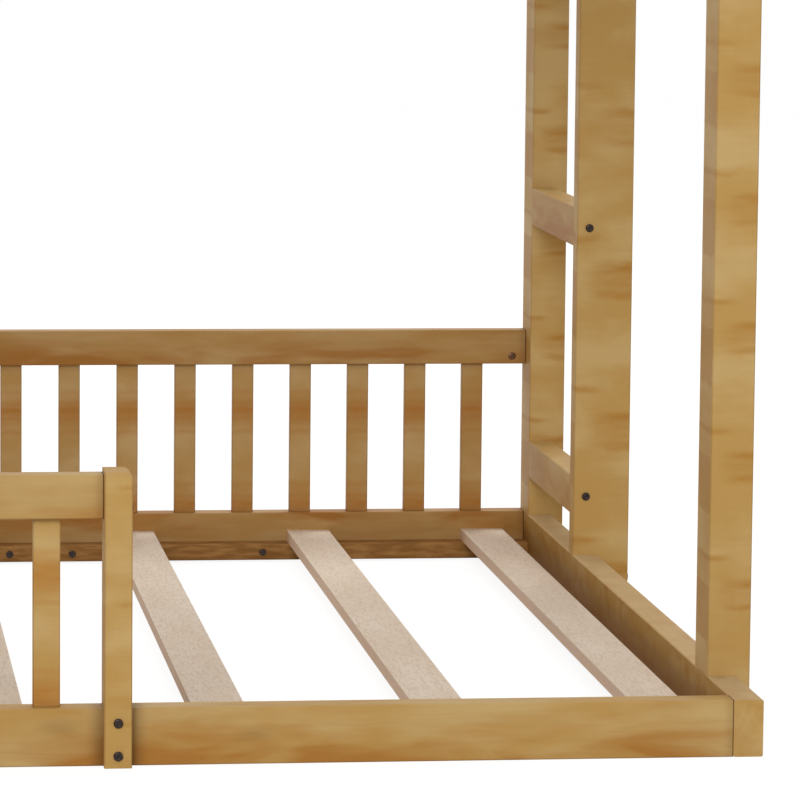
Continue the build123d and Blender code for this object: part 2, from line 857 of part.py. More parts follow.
def make_fasteners(slide_seats):
    """The bolts, nuts and screws of the whole bed."""
    bolts = [bolt for table in (front_corner_bolts, back_corner_bolts) for bolt in table.values()]
    bolts += [bolt for table in (front_post_bolts, back_post_bolts) for bolt in table.values()]
    bolts += [*stile_bolts.values(), *rung_stile_bolts, *rung_post_bolts, *back_guard_bolts.values()]
    bolts += [bolt for group in guard_post_bolts.values() for bolt in group]
    bolts += [*lower_guard_bolts.values(), *upper_guard_bolts.values(), *side_post_bolts.values()]
    bolts += [left_return_bolt, left_end_bolt, right_end_bolt, *beam_bolts, *header_bolts]
    make_bolts(bolts)
    make_group("barrel_nuts", [make_nut(bolt) for bolt in bolts if bolt.nut_axis])
    ledger_screws = [
        (seat, ledger_ways[name])
        for base in decks.values()
        for name, face_y in ledger_faces.items()
        for seat in ledger_seats(face_y, base)
    ]
    make_screws("ledger_screws", ledger_screws, screw_length)
    slide_screws = [(seat, (way, 0, 0)) for way, seats in slide_seats.items() for seat in seats]
    make_screws("slide_screws", slide_screws, slide_screw_length)
    print(f"{len(bolts)} bolts, slide reach {slide_reach:.1f} mm, slope {slide_slope_length:.1f} mm")


os.makedirs("parts", exist_ok=True)
make_posts()
make_ladder()
for deck_name, deck_base in decks.items():
    make_deck(deck_name, deck_base)
make_centre_beam()
make_front_guards()
make_back_guards()
make_side_guards()
make_fasteners(make_slide())
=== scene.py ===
import logging
import math
from dataclasses import dataclass, field, replace
from enum import Enum
from typing import Callable, Optional, Union

import bpy
from mathutils import Matrix, Vector


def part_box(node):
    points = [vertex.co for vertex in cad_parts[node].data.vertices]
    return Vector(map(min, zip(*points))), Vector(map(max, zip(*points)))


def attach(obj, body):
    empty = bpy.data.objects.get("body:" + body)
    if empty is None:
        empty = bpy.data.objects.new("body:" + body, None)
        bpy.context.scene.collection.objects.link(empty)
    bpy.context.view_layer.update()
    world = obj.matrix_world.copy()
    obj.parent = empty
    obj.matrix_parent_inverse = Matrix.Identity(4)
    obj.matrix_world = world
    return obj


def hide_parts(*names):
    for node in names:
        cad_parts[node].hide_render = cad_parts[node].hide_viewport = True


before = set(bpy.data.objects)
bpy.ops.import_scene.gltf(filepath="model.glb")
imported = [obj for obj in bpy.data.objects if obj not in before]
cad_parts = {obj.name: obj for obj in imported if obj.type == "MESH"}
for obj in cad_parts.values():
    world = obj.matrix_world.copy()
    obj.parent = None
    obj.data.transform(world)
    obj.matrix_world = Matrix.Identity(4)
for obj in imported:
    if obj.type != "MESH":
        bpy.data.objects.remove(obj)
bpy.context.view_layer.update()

log = logging.getLogger("bunk_bed")

MM = 0.001
BODY = "root"

# Corners that lie closer together than this are one
TOUCH = 0.01 * MM

# How much of an axis a normal has at least where a flat face looks along it
SQUARE_ON = 0.99

# How much of an axis a normal has where the mask of such faces starts and where it is full
FACE_LIMITS = (0.75, 0.95)

# Nearly a full turn, in radians, by which copies are turned about their own axis
SPIN_RANGE = 6.28

SMOOTH_ANGLE = math.radians(35)
GOLDEN_SHARE = 0.6180339887
BUMP_STRENGTH = 0.6

Colour = tuple[float, float, float, float]


def tone(red: int, green: int, blue: int) -> Colour:
    """Turn a colour of 0 to 255, as a screen shows it, into the linear colour of a shader."""
    shares = [part / 255 for part in (red, green, blue)]
    linear = [part / 12.92 if part <= 0.04045 else ((part + 0.055) / 1.055) ** 2.4 for part in shares]
    return (linear[0], linear[1], linear[2], 1.0)


def deepen(colour: Colour, shares: tuple[float, float, float]) -> Colour:
    """Multiply each part of a linear colour by its own share."""
    return (colour[0] * shares[0], colour[1] * shares[1], colour[2] * shares[2], 1.0)


def seed_of(name: str) -> float:
    """Give each piece a steady number from 0 to 1 that is worked out from its name."""
    total = sum(ord(letter) * (place + 3) ** 2 for place, letter in enumerate(name))
    return (total * GOLDEN_SHARE) % 1.0


class Value:
    """A socket of a shader graph on which Python's own operators add Math nodes."""

    def __init__(self, graph: "Graph", socket: bpy.types.NodeSocket) -> None:
        """Keep the socket and the graph that it belongs to."""
        self.graph = graph
        self.socket = socket

    def _math(self, operation: str, first: "Term", second: "Term" = 0.0) -> "Value":
        """Add one Math node that works on two terms."""
        return self.graph.add("ShaderNodeMath", {"operation": operation}, {0: first, 1: second})

    def __add__(self, other: "Term") -> "Value":
        """Add a term."""
        return self._math("ADD", self, other)

    def __radd__(self, other: "Term") -> "Value":
        """Add this value to a number."""
        return self._math("ADD", other, self)

    def __sub__(self, other: "Term") -> "Value":
        """Take a term away."""
        return self._math("SUBTRACT", self, other)

    def __rsub__(self, other: "Term") -> "Value":
        """Take this value away from a number."""
        return self._math("SUBTRACT", other, self)

    def __mul__(self, other: "Term") -> "Value":
        """Multiply by a term."""
        return self._math("MULTIPLY", self, other)

    def __rmul__(self, other: "Term") -> "Value":
        """Multiply a number by this value."""
        return self._math("MULTIPLY", other, self)

    def __truediv__(self, other: "Term") -> "Value":
        """Divide by a term."""
        return self._math("DIVIDE", self, other)

    def __pow__(self, other: "Term") -> "Value":
        """Raise to a power."""
        return self._math("POWER", self, other)

    def __abs__(self) -> "Value":
        """Give the size without its sign."""
        return self._math("ABSOLUTE", self)

    def floor(self) -> "Value":
        """Round down to a whole number."""
        return self._math("FLOOR", self)

    def larger(self, other: "Term") -> "Value":
        """Give the larger of this value and a term."""
        return self._math("MAXIMUM", self, other)

    def step(self, low: float, high: float) -> "Value":
        """Ease from 0 at low to 1 at high.

        Args:
            low: where the step starts.
            high: where it ends, which may lie below low for a falling step.

        Returns:
            The eased value.
        """
        settings = {"interpolation_type": "SMOOTHSTEP"}
        turned = low > high
        limits = {"Value": self, "From Min": min(low, high), "From Max": max(low, high)}
        limits |= {"To Min": 1.0, "To Max": 0.0} if turned else {"To Min": 0.0, "To Max": 1.0}
        return self.graph.add("ShaderNodeMapRange", settings, limits)


Term = Union[Value, float]
Paint = Union[Value, Colour]
Spot = tuple[Term, Term, Term]


class Graph:
    """The node tree of one material or of the world."""

    def __init__(self, tree: bpy.types.NodeTree) -> None:
        """Empty the tree."""
        self.tree = tree
        tree.nodes.clear()

    def add(self, kind: str, settings: Optional[dict] = None, inputs: Optional[dict] = None,
            output: Union[int, str] = 0) -> Value:
        """Add one node.

        Args:
            kind: the node's type.
            settings: its own settings, which are set first.
            inputs: the value or the link of each socket, by name or number.
            output: which output to give back.

        Returns:
            The chosen output, or the first input of a node that has no output.
        """
        node = self.tree.nodes.new(kind)
        for key, setting in (settings or {}).items():
            setattr(node, key, setting)
        for key, value in (inputs or {}).items():
            if isinstance(value, Value):
                self.tree.links.new(value.socket, node.inputs[key])
            else:
                node.inputs[key].default_value = value
        return Value(self, node.outputs[output] if len(node.outputs) else node.inputs[0])

    def mix(self, first: Paint, second: Paint, share: Term) -> Value:
        """Blend two colours by a share from 0 to 1."""
        return self.add("ShaderNodeMix", {"data_type": "RGBA"}, {0: share, 6: first, 7: second}, 2)

    def multiply(self, first: Paint, shade: Value) -> Value:
        """Darken or lighten a colour by a grey value."""
        grey = self.vector(shade, shade, shade)
        settings = {"data_type": "RGBA", "blend_type": "MULTIPLY"}
        return self.add("ShaderNodeMix", settings, {0: 1.0, 6: first, 7: grey}, 2)

    def vector(self, first: Term, second: Term, third: Term) -> Value:
        """Join three numbers in a vector."""
        return self.add("ShaderNodeCombineXYZ", None, {0: first, 1: second, 2: third})

    def place(self, output: str = "Object") -> tuple[Value, Value, Value]:
        """Give the three parts of the place, or of the normal, on the piece."""
        spot = self.add("ShaderNodeTexCoord", None, None, output)
        return tuple(self.add("ShaderNodeSeparateXYZ", None, {0: spot}, part) for part in range(3))

    def noise(self, spot: Spot, sizes: tuple[float, float, float], detail: float = 2.0,
              distortion: float = 0.0) -> Value:
        """Give a soft noise from 0 to 1.

        Args:
            spot: the three parts of the place, any of which may be a plain number.
            sizes: how far its patches reach along each part, in metres.
            detail: how many finer layers lie over it.
            distortion: how far its patches are swirled.

        Returns:
            The noise.
        """
        vector = self.vector(*(part / size for part, size in zip(spot, sizes)))
        return self.add("ShaderNodeTexNoise", None,
                        {"Vector": vector, "Scale": 1.0, "Detail": detail, "Distortion": distortion})

    def chance(self, number: Term) -> Value:
        """Give a steady chance from 0 to 1 for a whole number."""
        return self.add("ShaderNodeTexWhiteNoise", {"noise_dimensions": "1D"}, {"W": number})


@dataclass(frozen=True)
class Surface:
    """What the shader of a finish reads: its colour, its gloss and its relief."""

    colour: Value
    roughness: Term
    relief: Value
    relief_depth: float
    metallic: float = 0.0
    gloss: float = 0.5
    coat: float = 0.0
    coat_roughness: float = 0.2


def make_material(name: str) -> tuple[bpy.types.Material, Graph]:
    """Start an empty material and give it with its graph."""
    material = bpy.data.materials.new(name)
    material.use_nodes = True
    return material, Graph(material.node_tree)


def finish_material(graph: Graph, surface: Surface) -> None:
    """Join a surface's colour, gloss and relief to one shader.

    Args:
        graph: the material's graph.
        surface: what the shader reads.
    """
    bump = {"Strength": BUMP_STRENGTH, "Distance": surface.relief_depth, "Height": surface.relief}
    shader = graph.add("ShaderNodeBsdfPrincipled", None, {
        "Base Color": surface.colour,
        "Roughness": surface.roughness,
        "Metallic": surface.metallic,
        "Specular IOR Level": surface.gloss,
        "Coat Weight": surface.coat,
        "Coat Roughness": surface.coat_roughness,
        "Normal": graph.add("ShaderNodeBump", None, bump),
    })
    graph.add("ShaderNodeOutputMaterial", None, {"Surface": shader})


def solids_of(node: str) -> list[list[Vector]]:
    """Sort the corners of a node's mesh by the solid that they belong to.

    Args:
        node: the node's name.

    Returns:
        One list of corners for each solid.
    """
    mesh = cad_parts[node].data
    owner: dict[tuple[int, ...], tuple[int, ...]] = {}

    def root(key: tuple[int, ...]) -> tuple[int, ...]:
        """Follow a corner to the first corner of its solid."""
        while owner[key] != key:
            owner[key] = owner[owner[key]]
            key = owner[key]
        return key

    keys = [tuple(round(part / TOUCH) for part in vertex.co) for vertex in mesh.vertices]
    for key in keys:
        owner.setdefault(key, key)
    for polygon in mesh.polygons:
        first = root(keys[polygon.vertices[0]])
        for corner in polygon.vertices[1:]:
            owner[root(keys[corner])] = first
    groups: dict[tuple[int, ...], list[Vector]] = {}
    for key, vertex in zip(keys, mesh.vertices):
        groups.setdefault(root(key), []).append(vertex.co.copy())
    return [groups[key] for key in sorted(groups)]


class Grain(Enum):
    """The way that a board's grain runs."""

    LENGTH = "x"
    DEPTH = "y"
    HEIGHT = "z"
    SLOPE = "slope"


class Figure(Enum):
    """How the stain shows on a board: long streaks, bands across a post or short marks across."""

    STREAKS = "streaks"
    BANDS = "bands"
    CROSS = "cross"


class Row(Enum):
    """Which way a node's boards repeat, by the number of the axis, if it holds more than one."""

    NONE = -1
    LENGTH = 0
    DEPTH = 1


@dataclass(frozen=True)
class Board:
    """One node of boards: how its grain runs, how it is figured and how it repeats.

    The slope is that of a board whose grain runs down one. The groups of bands on a post lie one
    pitch apart, counted down from the start. The dark edge is -1 for the lower edge of a rail and 1
    for the upper one. The share at the ends is how dark the seam line at both ends is, together with
    the painted shade that reaches a little way in from them. The last field names the nodes that cast
    painted shade on the board beside them.
    """

    node: str
    grain: Grain
    figure: Figure = Figure.STREAKS
    row: Row = Row.NONE
    slope: float = 0.0
    width: float = 58 * MM
    band_pitch: float = 133.5 * MM
    band_start: float = 715 * MM
    dark_edge: float = -1.0
    joint_and_shade: float = 0.0
    shadow_casters: tuple[str, ...] = ()

    def centre(self) -> Vector:
        """Give the middle of the node's box."""
        low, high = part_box(self.node)
        return (low + high) / 2

    def half_length(self) -> float:
        """Give half of the board's length along its grain."""
        low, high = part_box(self.node)
        axis = {Grain.LENGTH: 0, Grain.DEPTH: 1}.get(self.grain, 2)
        return (high[axis] - low[axis]) / 2

    def spacing(self) -> tuple[float, float, list[tuple[float, float]]]:
        """Read the row's spacing from the node's solids.

        Returns:
            Where the first board lies, the step to the next, and for each wider gap its middle
            and what it is wider by.
        """
        middles = []
        for corners in solids_of(self.node):
            places = [corner[self.row.value] for corner in corners]
            middles.append((min(places) + max(places)) / 2)
        middles.sort()
        pairs = list(zip(middles, middles[1:]))
        pitch = min(after - before for before, after in pairs)
        breaks = [((before + after) / 2, after - before - pitch) for before, after in pairs
                  if after - before - pitch > MM]
        return middles[0], pitch, breaks


@dataclass(frozen=True)
class BoardPlace:
    """Where a point lies on its own board, in metres from its middle, and the board's own chance.

    Line lies along the board, and along is the same moved by the node's own seed, so that no two
    boards look alike. The height is that above the floor. The faces are masks from 0 to 1.
    """

    along: Value
    across: Value
    through: Value
    height: Value
    line: Value
    end_face: Value
    side_face: Value
    inner_face: Value
    chance: Term

    def moved(self) -> tuple[Value, Value, Value]:
        """Give the place along, across and through, moved along by the board's own chance."""
        return self.along + 5 * self.chance, self.across, self.through


def board_place(graph: Graph, board: Board) -> BoardPlace:
    """Work out the board's own axes from the place on the piece.

    Args:
        graph: the material's graph.
        board: the board.

    Returns:
        The place on the board, with masks of its end, side and inner faces.
    """
    seed = seed_of(board.node)
    middle = board.centre()
    spot = list(graph.place())
    height = spot[2]
    facing = graph.place("Normal")
    chance: Term = seed
    if board.row is not Row.NONE:
        axis = board.row.value
        first, pitch, breaks = board.spacing()
        for gap, extra in breaks:
            spot[axis] = spot[axis] - spot[axis].step(gap - 10 * TOUCH, gap + 10 * TOUCH) * extra
        number = ((spot[axis] - first) / pitch + 0.5).floor()
        chance = graph.chance(number + 40 * seed)
        spot[axis] = spot[axis] - (number * pitch + first) + middle[axis]
    x, y, z = (part - start for part, start in zip(spot, middle))
    if board.grain is Grain.LENGTH:
        parts = (x, z, y, abs(facing[0]))
    elif board.grain is Grain.DEPTH:
        parts = (y, z, x, abs(facing[1]))
    elif board.grain is Grain.HEIGHT:
        parts = (z, x, y, abs(facing[2]))
    else:
        run, rise = math.cos(board.slope), math.sin(board.slope)
        parts = (y * run + z * rise, z * run - y * rise, x, abs(facing[1] * run + facing[2] * rise))
    along, across, through, end = parts
    side = abs(facing[0]).step(*FACE_LIMITS)
    end = end.step(*FACE_LIMITS)
    inner = (facing[0] * (-1.0 if middle.x > 0 else 1.0)).step(*FACE_LIMITS)
    return BoardPlace(along + 7 * seed, across, through, height, along, end, side, inner, chance)


@dataclass(frozen=True)
class Band:
    """One mark across a post.

    Its place and its reach up and down are shares of its group. It grows from one side of the board
    to the other, counted from -1 to 1, and is even all over as long as no sides are given.
    """

    phase: float
    reach: float
    strength: float
    from_side: float = -2.0
    to_side: float = -1.9


@dataclass(frozen=True)
class StainedPine:
    """Pine under a honey stain and a satin lacquer."""

    pale: Colour = tone(199, 167, 110)
    honey: Colour = tone(189, 150, 86)
    amber: Colour = tone(174, 122, 57)
    smudge: Colour = tone(176, 128, 60)
    # Painted shade low on an end rail's inner face.
    corner: Colour = tone(126, 80, 34)
    # Painted highlight of sheen on an end rail's top.
    painted_sheen: Colour = tone(208, 186, 152)
    # Dark of the seam lines at board ends, and of the painted shade beside ends, shading boards and post
    # edges.
    joint_and_shade: Colour = tone(74, 46, 22)
    streak_share: float = 0.85
    band_share: float = 0.95
    # Painted shade along the rounded upright edges of posts and balusters.
    edge_shade_share: float = 0.14
    # Painted shade beside the boards that stand across a rail: its strength and its reach.
    contact_shade_share: float = 0.62
    contact_shade_limits: tuple[float, float] = (20 * MM, -6 * MM)
    joint_limits: tuple[float, float] = (1.5 * MM, 0.4 * MM)
    # How far painted shade reaches in from a board's ends.
    joint_shade_reach: float = 12 * MM
    # Where the painted shade along the upright edges starts and where it is full.
    edge_shade_limits: tuple[float, float] = (1.8 * MM, 0.2 * MM)
    group_change: float = 0.5
    cloud_length: float = 160 * MM
    cloud_width: float = 50 * MM
    ring_width: float = 3.4 * MM
    pith_aside: float = 28 * MM
    pith_behind: float = 46 * MM
    roughness: float = 0.5
    gloss: float = 0.1
    bands_of_group: tuple[Band, ...] = (
        Band(0.10, 0.045, 0.60, 0.4, -0.7),
        Band(0.29, 0.060, 0.65, -0.7, 0.9),
        Band(0.37, 0.170, 0.45, -1.0, 0.2),
        Band(0.48, 0.050, 0.60, -0.8, 0.7),
    )
    # How much the painted shade darkens the boards at the back.
    back_shade_shares: tuple[float, float, float] = (0.84, 0.79, 0.81)

    def material(self, board: Board) -> bpy.types.Material:
        """Make the finish of one board.

        Args:
            board: the board that it goes on.

        Returns:
            The material.
        """
        material, graph = make_material(f"stained_pine_{board.node}")
        spot = board_place(graph, board)
        grain = spot.moved()
        fibre = graph.noise(grain, (50 * MM, 1.2 * MM, 1.2 * MM), 3.0)
        relief = fibre
        if board.figure is Figure.BANDS:
            cloud = graph.noise(grain, (60 * MM, 120 * MM, 120 * MM), 3.0)
            fine = graph.noise((spot.height, spot.across, spot.through), (2.4 * MM, 50 * MM, 50 * MM))
            shade = 1.0 + (fibre - 0.5) * 0.05 + (fine - 0.5) * 0.08
            stain, amber = self.bands(graph, spot, board), self.smudge
        else:
            cloud = graph.noise(grain, (self.cloud_length, self.cloud_width, self.cloud_width), 3.0)
            rings = self.rings(graph, grain)
            relief = fibre * 0.6 + rings * 0.4
            shade = 1.0 + (fibre - 0.5) * 0.09 - rings * 0.03 - self.knots(graph, grain) * 0.16
            stain, amber = self.streaks(graph, grain, board), self.amber
        if board.figure is Figure.CROSS:
            stain = self.marks(graph, grain) * (1.0 - spot.end_face * 0.5)
        colour = graph.mix(self.pale, self.honey, cloud.step(0.34, 0.62))
        colour = graph.mix(colour, amber, stain)
        # Painted highlight on the top of an end rail and painted shade on its inner face.
        if board.figure is Figure.CROSS:
            colour = self.lit_and_shaded(graph, colour, spot)
        colour = graph.multiply(colour, shade + (spot.chance - 0.5) * 0.05)
        # Seam lines at the ends, plus painted shade inside the ends, beside shading boards and along post
        # edges.
        dark = self.joints_and_painted_shade(spot, board)
        if dark is not None:
            colour = graph.mix(colour, self.joint_and_shade, dark)
        rough = self.roughness + (fibre - 0.5) * 0.2 + spot.end_face * 0.1
        finish_material(graph, Surface(colour, rough, relief, 0.1 * MM, gloss=self.gloss))
        return material

    def lit_and_shaded(self, graph: Graph, colour: Value, spot: BoardPlace) -> Value:
        """Paint a highlight as sheen on the top of an end rail and painted shade on its inner face, most
        of all low down.
        """
        top = 1.0 - spot.side_face - spot.end_face
        colour = graph.mix(colour, self.painted_sheen, top * 0.4)
        # Painted shade on the inner face, darkest low down beside the slats.
        low = spot.inner_face * spot.across.step(28 * MM, -20 * MM)
        return graph.mix(colour, self.corner, low * 0.7 + spot.inner_face * 0.15)

    def joints_and_painted_shade(self, spot: BoardPlace, board: Board) -> Optional[Value]:
        """Give the dark seam line at a board's ends, and the painted shade just inside the ends, beside
        the boards that stand across it and along the upright edges of posts.
        """
        darks: list[Value] = []
        if board.joint_and_shade:
            half = board.half_length()
            from_middle = abs(spot.line)
            start, full = self.joint_limits
            darks.append(from_middle.step(half - start, half - full) * board.joint_and_shade)
            # Painted shade reaching in from the ends.
            darks.append(from_middle.step(half - self.joint_shade_reach, half) * board.joint_and_shade * 0.3)
        # Painted shade beside the boards that stand across this one.
        for shadow_caster in board.shadow_casters:
            low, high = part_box(shadow_caster)
            away = abs(spot.line - ((low.x + high.x) / 2 - board.centre().x))
            half = (high.x - low.x) / 2
            start, full = self.contact_shade_limits
            darks.append(away.step(half + start, half + full) * self.contact_shade_share)
        # Painted shade along the rounded upright edges.
        if board.figure is Figure.BANDS:
            half = board.width / 2
            start, full = self.edge_shade_limits
            edge = abs(spot.across).step(half - start, half - full) * (1.0 - spot.side_face)
            darks.append(edge * self.edge_shade_share)
        return sum(darks[1:], darks[0]) if darks else None

    def rings(self, graph: Graph, grain: Spot) -> Value:
        """Give the dark lines of the growth rings, which lie round a pith beside the board."""
        along, across, through = grain
        wander = graph.noise((along, 3.0, 7.0), (350 * MM, 1.0, 1.0)) - 0.5
        aside = across - self.pith_aside + wander * (30 * MM)
        behind = through + self.pith_behind + wander * (20 * MM)
        distance = (aside ** 2.0 + behind ** 2.0) ** 0.5
        line = graph.noise((distance, along, 5.0), (self.ring_width, 600 * MM, 1.0), 1.0)
        return line.step(0.45, 0.8)

    def streaks(self, graph: Graph, grain: Spot, board: Board) -> Value:
        """Give the stain that gathers in long soft streaks along a rail, most of it at one edge."""
        edge = (grain[1] * (2 * board.dark_edge / board.width)).step(-0.7, 0.95)
        wide = graph.noise(grain, (130 * MM, 28 * MM, 30 * MM), 3.0, 0.5)
        fine = graph.noise(grain, (60 * MM, 6 * MM, 6 * MM), 2.0, 0.4)
        gathered = wide.step(0.34, 0.62) * edge
        return (gathered + wide.step(0.5, 0.75) * 0.45 + fine.step(0.5, 0.8) * 0.15) * self.streak_share

    def marks(self, graph: Graph, grain: Spot) -> Value:
        """Give the short marks across an end rail."""
        wide = graph.noise(grain, (60 * MM, 35 * MM, 60 * MM), 3.0, 0.8)
        fine = graph.noise(grain, (12 * MM, 30 * MM, 50 * MM), 2.0, 0.3)
        return (wide.step(0.44, 0.68) * 0.75 + fine.step(0.55, 0.75) * 0.3) * self.band_share

    def bands(self, graph: Graph, spot: BoardPlace, board: Board) -> Value:
        """Give the stain that gathers in groups of bands across a post, some of them at one side."""
        around = (spot.across, spot.through, spot.along)
        wander = graph.noise(around, (30 * MM, 30 * MM, 30 * MM), 3.0)
        turn = (board.band_start - spot.height) / board.band_pitch + 0.1 + (wander - 0.5) * 0.07
        group = turn.floor()
        phase = turn - group
        side = spot.across * (2 / board.width)
        stain: Term = 0.0
        for band in self.bands_of_group:
            tall = abs(phase - band.phase).step(band.reach, 0.0)
            stain = tall * side.step(band.from_side, band.to_side) * band.strength + stain
        smoke = graph.noise(around, (30 * MM, 30 * MM, 6 * MM), 3.0)
        zone = phase.step(0.30, 0.33) * phase.step(0.77, 0.73) * spot.side_face * 0.6
        chance = graph.chance(group + 50 * seed_of(board.node))
        share = chance * self.group_change + 1.0 - self.group_change / 2
        return (stain * (0.3 + smoke * 1.4) + zone) * share * self.band_share

    def knots(self, graph: Graph, grain: Spot) -> Value:
        """Give the few small knots."""
        along, across, through = grain
        place = graph.vector(along / (200 * MM), across / (80 * MM), through / (80 * MM))
        distance = graph.add("ShaderNodeTexVoronoi", None, {"Vector": place, "Scale": 1.0}, "Distance")
        return distance.step(0.16, 0.03)


@dataclass(frozen=True)
class BareWood:
    """Planed wood with nothing on it, pale and finely flecked."""

    pale: Colour = tone(224, 209, 191)
    flesh: Colour = tone(210, 190, 166)
    fleck: Colour = tone(194, 167, 141)
    # Painted shade: the slats' side faces are darker and warmer than their tops.
    side: Colour = tone(213, 181, 154)
    roughness: float = 0.7
    gloss: float = 0.2

    def material(self, board: Board) -> bpy.types.Material:
        """Make the finish of one row of slats.

        Args:
            board: the slats.

        Returns:
            The material.
        """
        material, graph = make_material(f"bare_wood_{board.node}")
        spot = board_place(graph, board)
        along, across, through = spot.moved()
        turned = (along, through, across)
        cloud = graph.noise((along, across, through), (200 * MM, 40 * MM, 40 * MM), 3.0)
        fleck = graph.noise(turned, (16 * MM, 3 * MM, 3 * MM), 4.0)
        fibre = graph.noise(turned, (20 * MM, 1.2 * MM, 1.2 * MM), 2.0)
        colour = graph.mix(self.pale, self.flesh, cloud.step(0.3, 0.7) * 0.5)
        colour = graph.mix(colour, self.fleck, fleck.step(0.42, 0.72) * 0.5)
        # Painted shade on the slats' side faces.
        colour = graph.mix(colour, self.side, spot.side_face * 0.8)
        shade = 1.0 + (fibre - 0.5) * 0.07 + (spot.chance - 0.5) * 0.07
        colour = graph.multiply(colour, shade)
        finish_material(graph, Surface(colour, self.roughness, fibre + fleck, 0.08 * MM, gloss=self.gloss))
        return material


@dataclass(frozen=True)
class LacqueredPly:
    """Bent plywood under the same stain and a harder gloss."""

    pale: Colour = tone(203, 172, 116)
    honey: Colour = tone(190, 152, 90)
    amber: Colour = tone(176, 128, 62)
    roughness: float = 0.28
    coat: float = 0.4
    coat_roughness: float = 0.12

    def material(self, board: Board) -> bpy.types.Material:
        """Make the finish of the slide's bed.

        Args:
            board: the panel.

        Returns:
            The material.
        """
        material, graph = make_material(f"lacquered_ply_{board.node}")
        x, y, z = graph.place()
        run = y - z
        cloud = graph.noise((x, run, 1.0), (120 * MM, 900 * MM, 1.0), 3.0, 0.4)
        figure = graph.noise((x, run, 4.0), (16 * MM, 700 * MM, 1.0), 3.0, 1.1)
        fibre = graph.noise((x, run, 2.0), (1.2 * MM, 50 * MM, 1.0), 3.0)
        colour = graph.mix(self.pale, self.honey, cloud.step(0.3, 0.7))
        colour = graph.mix(colour, self.amber, figure.step(0.5, 0.75) * 0.55)
        colour = graph.multiply(colour, 1.0 + (fibre - 0.5) * 0.14)
        rough = self.roughness + (fibre - 0.5) * 0.08
        finish_material(graph, Surface(colour, rough, fibre, 0.06 * MM, coat=self.coat,
                                       coat_roughness=self.coat_roughness))
        return material


@dataclass(frozen=True)
class PlatedSteel:
    """Plated steel that is a little worn, as on a screw head."""

    name: str
    plate: Colour
    worn: Colour
    roughness: float = 0.36
    metallic: float = 0.5
    coat: float = 0.15

    def material(self) -> bpy.types.Material:
        """Make the finish."""
        material, graph = make_material(self.name)
        spot = graph.place()
        patch = graph.noise(spot, (3 * MM, 3 * MM, 3 * MM), 3.0)
        grit = graph.noise(spot, (0.4 * MM, 0.4 * MM, 0.4 * MM), 2.0)
        colour = graph.mix(self.plate, self.worn, patch.step(0.5, 0.8) * 0.7)
        rough = self.roughness + (grit - 0.5) * 0.2
        finish_material(graph, Surface(colour, rough, grit, 0.02 * MM, metallic=self.metallic,
                                       coat=self.coat))
        return material


def paint(node: str, material: bpy.types.Material) -> None:
    """Put a finish on a node of the frame."""
    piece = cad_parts[node]
    if not piece.material_slots:
        piece.data.materials.append(material)
    for slot in piece.material_slots:
        slot.material = material
    log.info("dressed %s", node)


EVEN_BANDS = (
    Band(0.10, 0.05, 0.25),
    Band(0.31, 0.26, 0.85),
    Band(0.53, 0.04, 0.35),
)
SOFT_BANDS = (
    Band(0.31, 0.04, 0.60, -0.6, 0.6),
    Band(0.12, 0.14, 0.40),
    Band(0.70, 0.12, 0.25, -1.0, 0.5),
)
PINE = StainedPine()
POST_PINE = replace(PINE, bands_of_group=SOFT_BANDS)
GUARD_PINE = replace(PINE, honey=tone(189, 154, 97), streak_share=0.55)
END_PINE = replace(PINE, band_share=0.7, gloss=0.03, roughness=0.65)
BALUSTER_PINE = replace(PINE, bands_of_group=EVEN_BANDS, smudge=tone(181, 126, 58), edge_shade_share=0.28,
                        group_change=0.0, back_shade_shares=(0.91, 0.88, 0.94))
RUNG_PINE = replace(PINE, gloss=0.09)
# The ledgers' own darker stain, darkened further as painted shade.
LEDGER_PINE = replace(
    PINE, pale=tone(162, 118, 67), honey=tone(135, 94, 47), amber=tone(116, 74, 32), streak_share=0.4,
    cloud_length=30 * MM, cloud_width=6 * MM)


def shaded(finish: StainedPine) -> StainedPine:
    """Give the same finish, darkened as painted shade for the boards at the back."""
    painted_shade_colours = {name: deepen(getattr(finish, name), finish.back_shade_shares)
              for name in ("pale", "honey", "amber", "smudge")}
    return replace(finish, **painted_shade_colours)


def dress_boards(finish: StainedPine, boards: list[Board]) -> None:
    """Put a finish on each of several boards, with painted shade on those at the back."""
    for board in boards:
        at_back = "_back_" in board.node
        paint(board.node, (shaded(finish) if at_back else finish).material(board))


DECKS = ("lower", "upper")
SIDES = ("front", "back")
ENDS = ("left", "right")
GUARD_POSTS = {
    "lower": tuple(f"lower_front_guard_post_{place}" for place in ("left", "right")),
    "upper": tuple(f"upper_front_guard_post_{place}" for place in ("left", "middle", "right")),
}


@dataclass
class BedFrame:
    """The four posts, the rails of both decks and the upper deck's centre beam."""

    post_width: float = 45 * MM

    def dress(self) -> None:
        """Put the stain on the posts and rails, with painted shade on the back rails, at the rails' ends,
        beside the guard posts and along the posts' edges, and a painted highlight and painted shade on the
        end rails.
        """
        boards = [Board(f"{side}_post_{end}", Grain.HEIGHT, Figure.BANDS, width=self.post_width)
                  for side in SIDES for end in ENDS]
        for deck in DECKS:
            boards.append(Board(
                f"{deck}_front_rail", Grain.LENGTH, joint_and_shade=0.75, shadow_casters=GUARD_POSTS[deck]))
            boards.append(Board(f"{deck}_back_rail", Grain.LENGTH, dark_edge=1.0, joint_and_shade=0.8))
            dress_boards(END_PINE, [
                Board(f"{deck}_{end}_rail", Grain.DEPTH, Figure.CROSS) for end in ENDS])
        boards.append(Board("upper_centre_beam", Grain.LENGTH))
        dress_boards(PINE, boards)


